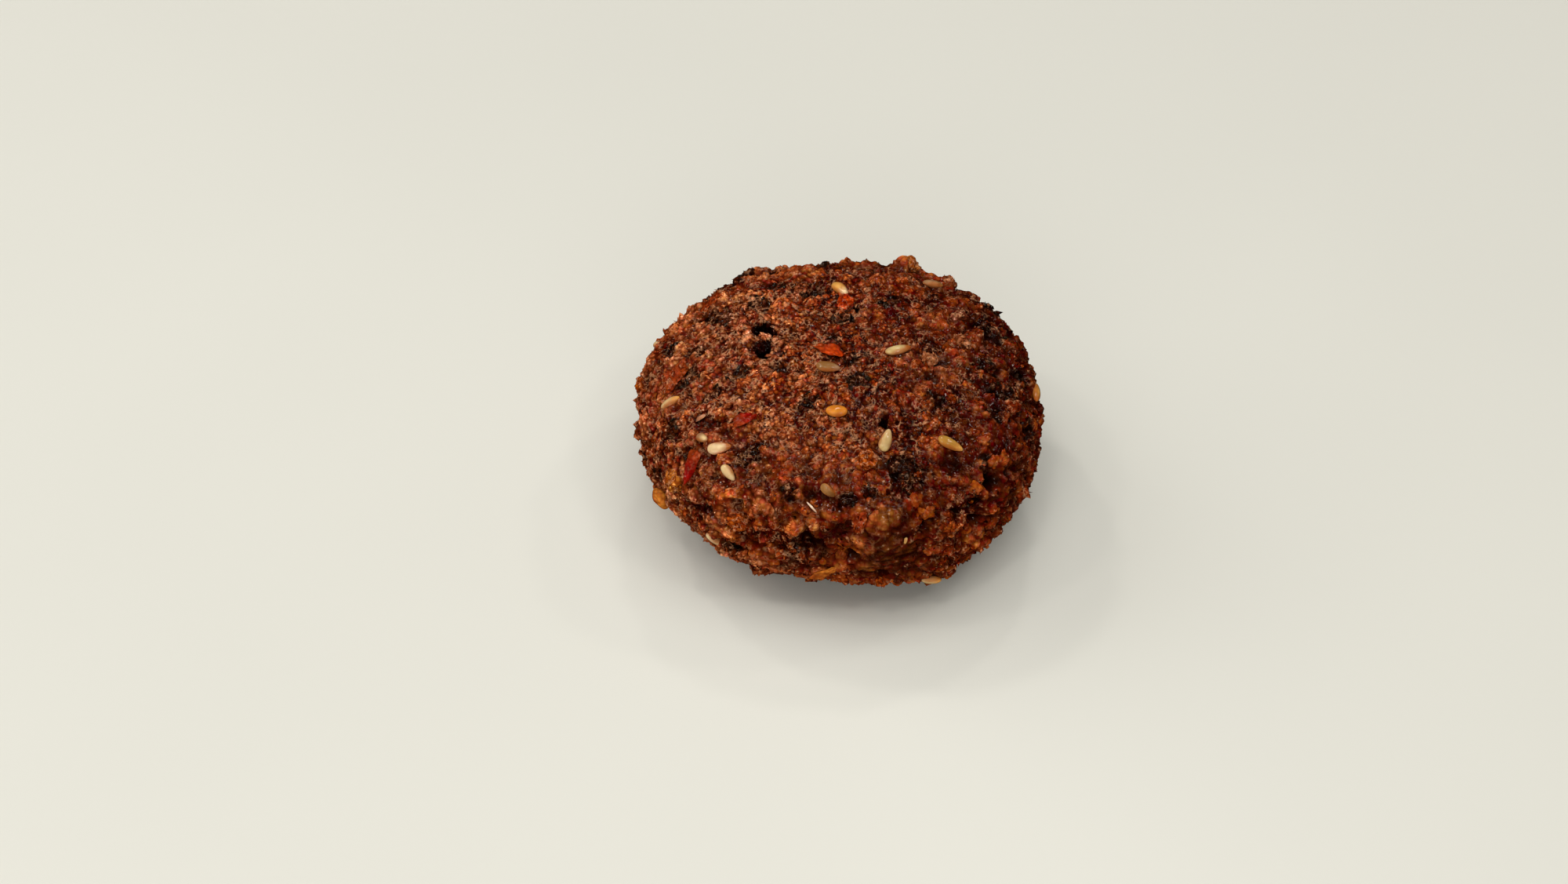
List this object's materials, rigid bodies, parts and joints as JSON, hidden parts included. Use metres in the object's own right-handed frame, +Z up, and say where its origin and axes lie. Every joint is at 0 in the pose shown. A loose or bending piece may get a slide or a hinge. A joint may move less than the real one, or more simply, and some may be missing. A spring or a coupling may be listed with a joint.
{
  "type": "falafel",
  "caption": "Fried oval falafel patty with a rounded crown, rugged side wall, small flat foot, and sesame seeds and pepper flakes pressed into its crumb crust.",
  "frame": {"origin": "middle of the bounding box at the level of the flat foot", "axes": "+Z up from the foot, +X along the longest axis, +Y away from the side shown in the picture"},
  "size_m": [0.0554, 0.052, 0.0288],
  "materials": {
    "fried_crust": "deep-fried crumb crust: red-brown with darker herb patches and a thin broken film of oil"
  },
  "bodies": {
    "root": {"falafel": "fried_crust"}
  },
  "joints": []
}
